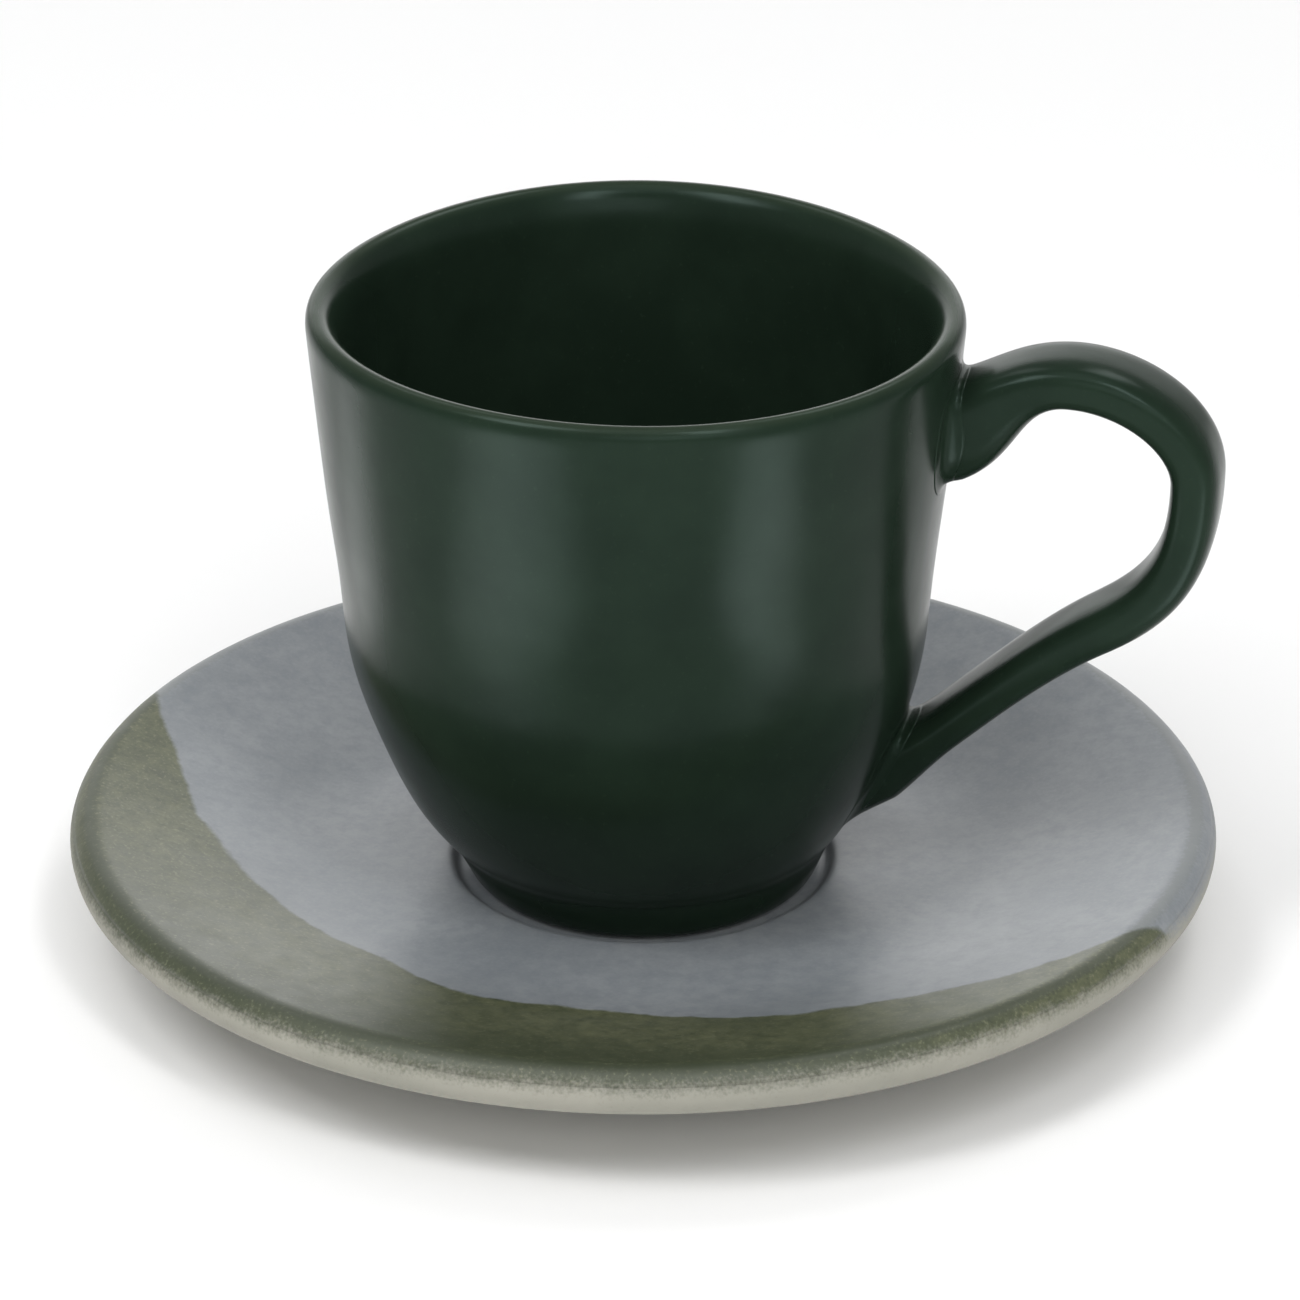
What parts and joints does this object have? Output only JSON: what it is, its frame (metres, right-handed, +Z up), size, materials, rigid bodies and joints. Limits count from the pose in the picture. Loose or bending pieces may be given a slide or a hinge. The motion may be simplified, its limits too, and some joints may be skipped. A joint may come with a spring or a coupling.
{
  "type": "coffee cup with saucer",
  "caption": "Hand-formed stoneware coffee cup with a looped strap handle, standing in the shallow well of a round dished saucer.",
  "frame": {"origin": "on the table under the middle of the saucer's foot", "axes": "+Z up along the saucer's axis, +X out along the cup's handle"},
  "size_m": [0.1548, 0.1548, 0.0901],
  "materials": {
    "saucer_clay": "bare cream stoneware, lightly sanded",
    "saucer_glaze": "satin blue-grey glaze with fine flecks and an olive dip along one side",
    "cup_glaze": "satin dark green glaze",
    "handle_glaze": "satin dark green glaze",
    "joint_glaze": "satin dark green glaze, pooled in the corner"
  },
  "bodies": {
    "saucer": {"saucer_body": "saucer_clay", "saucer_top_glaze": "saucer_glaze"},
    "cup": {"cup_body": "cup_glaze", "cup_handle": "handle_glaze", "upper_handle_joint": "joint_glaze", "lower_handle_joint": "joint_glaze"}
  },
  "joints": [
    {"name": "cup_lift", "type": "slide", "parent": "saucer", "child": "cup", "axis": [0, 0, 1], "range_m": [0, 0.1]}
  ]
}
